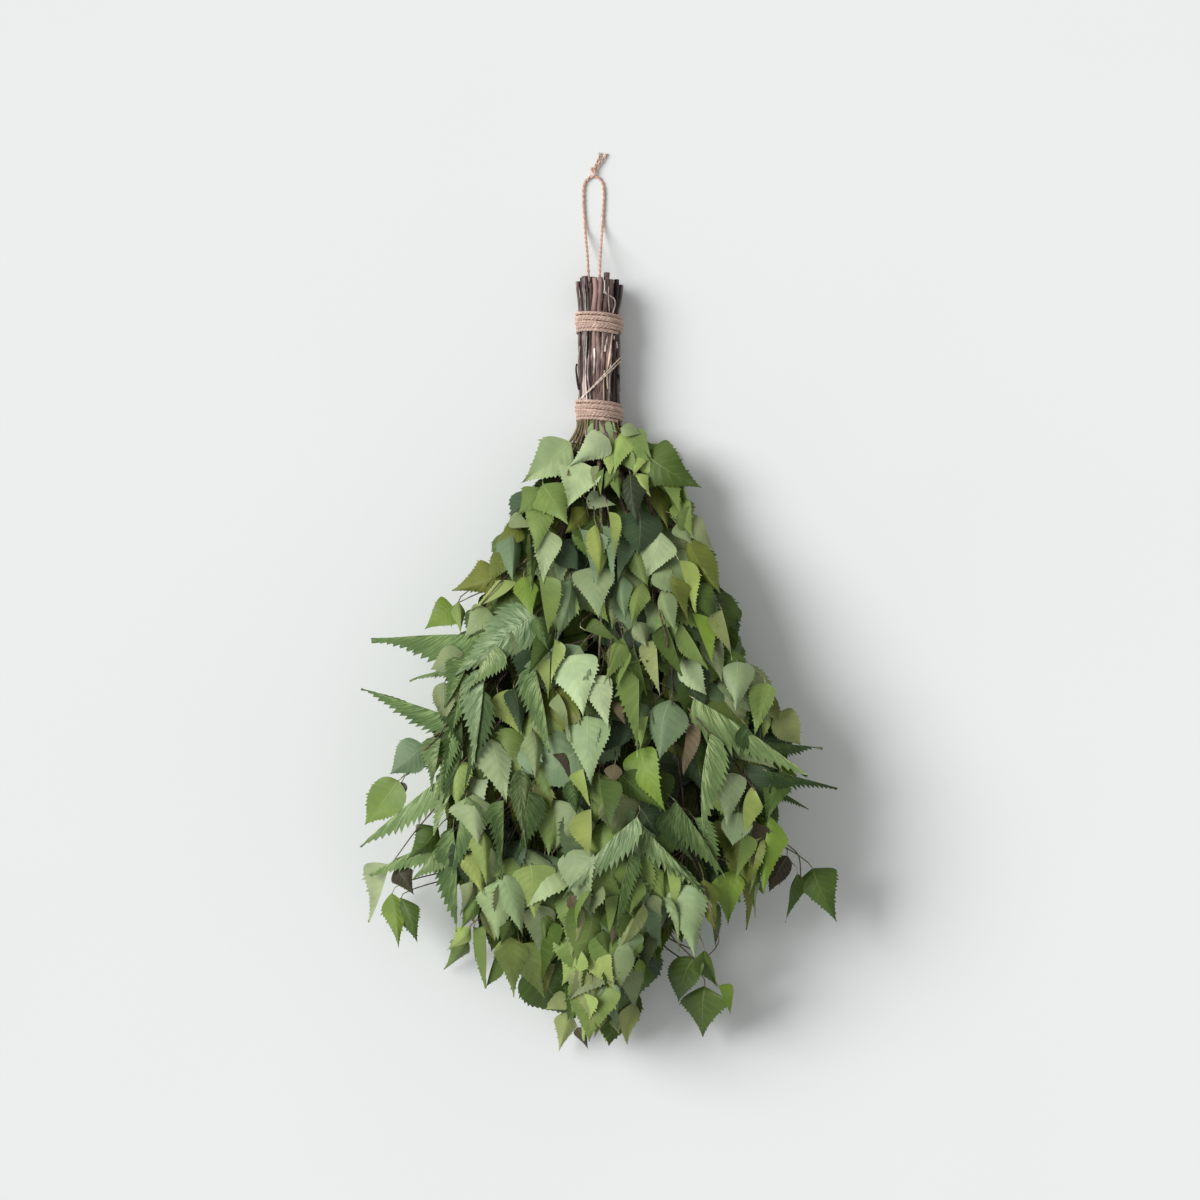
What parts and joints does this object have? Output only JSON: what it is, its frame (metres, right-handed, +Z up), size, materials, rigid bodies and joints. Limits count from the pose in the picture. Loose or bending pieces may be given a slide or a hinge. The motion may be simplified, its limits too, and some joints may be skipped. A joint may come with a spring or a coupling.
{
  "type": "birch bath whisk",
  "caption": "Bundle of leafy birch twigs with a few nettle stalks, bound with twine into a handle with a hanging loop, used as a bath or sauna whisk.",
  "frame": {"origin": "on the surface that the whisk lies on, under the middle of the branches and leaves", "axes": "+Y along the handle towards its cut ends, leaves towards -Y; +Z up from the surface; X across"},
  "size_m": [0.2978, 0.5818, 0.0952],
  "materials": {
    "birch_bark": "matte",
    "birch_leaf": "matte",
    "nettle_stalk": "matte",
    "nettle_leaf": "matte",
    "jute_twine": "matte",
    "loop_twine": "matte"
  },
  "bodies": {
    "root": {"birch_spray_01": "birch_leaf", "birch_spray_02": "birch_leaf", "birch_spray_03": "birch_leaf", "birch_spray_04": "birch_leaf", "birch_spray_05": "birch_leaf", "birch_spray_06": "birch_leaf", "birch_spray_07": "birch_leaf", "birch_spray_08": "birch_leaf", "birch_spray_09": "birch_leaf", "birch_spray_10": "birch_leaf", "birch_spray_11": "birch_leaf", "birch_spray_12": "birch_leaf", "birch_spray_13": "birch_leaf", "birch_spray_14": "birch_leaf", "birch_spray_15": "birch_leaf", "birch_spray_16": "birch_leaf", "birch_spray_17": "birch_leaf", "birch_spray_18": "birch_leaf", "birch_spray_19": "birch_leaf", "birch_spray_20": "birch_leaf", "birch_spray_21": "birch_leaf", "birch_stem_01": "birch_bark", "birch_stem_02": "birch_bark", "birch_stem_03": "birch_bark", "birch_stem_04": "birch_bark", "birch_stem_05": "birch_bark", "birch_stem_06": "birch_bark", "birch_stem_07": "birch_bark", "birch_stem_08": "birch_bark", "birch_stem_09": "birch_bark", "birch_stem_10": "birch_bark", "birch_stem_11": "birch_bark", "birch_stem_12": "birch_bark", "birch_stem_13": "birch_bark", "birch_stem_14": "birch_bark", "birch_stem_15": "birch_bark", "birch_stem_16": "birch_bark", "birch_stem_17": "birch_bark", "birch_stem_18": "birch_bark", "birch_stem_19": "birch_bark", "birch_stem_20": "birch_bark", "birch_stem_21": "birch_bark", "cross_twine": "jute_twine", "hanging_loop": "loop_twine", "loop_knot": "loop_twine", "loop_tail_left": "loop_twine", "loop_tail_right": "loop_twine", "lower_binding": "jute_twine", "nettle_spray_01": "nettle_leaf", "nettle_spray_02": "nettle_leaf", "nettle_spray_03": "nettle_leaf", "nettle_stem_01": "nettle_stalk", "nettle_stem_02": "nettle_stalk", "nettle_stem_03": "nettle_stalk", "upper_binding": "jute_twine"}
  },
  "joints": []
}
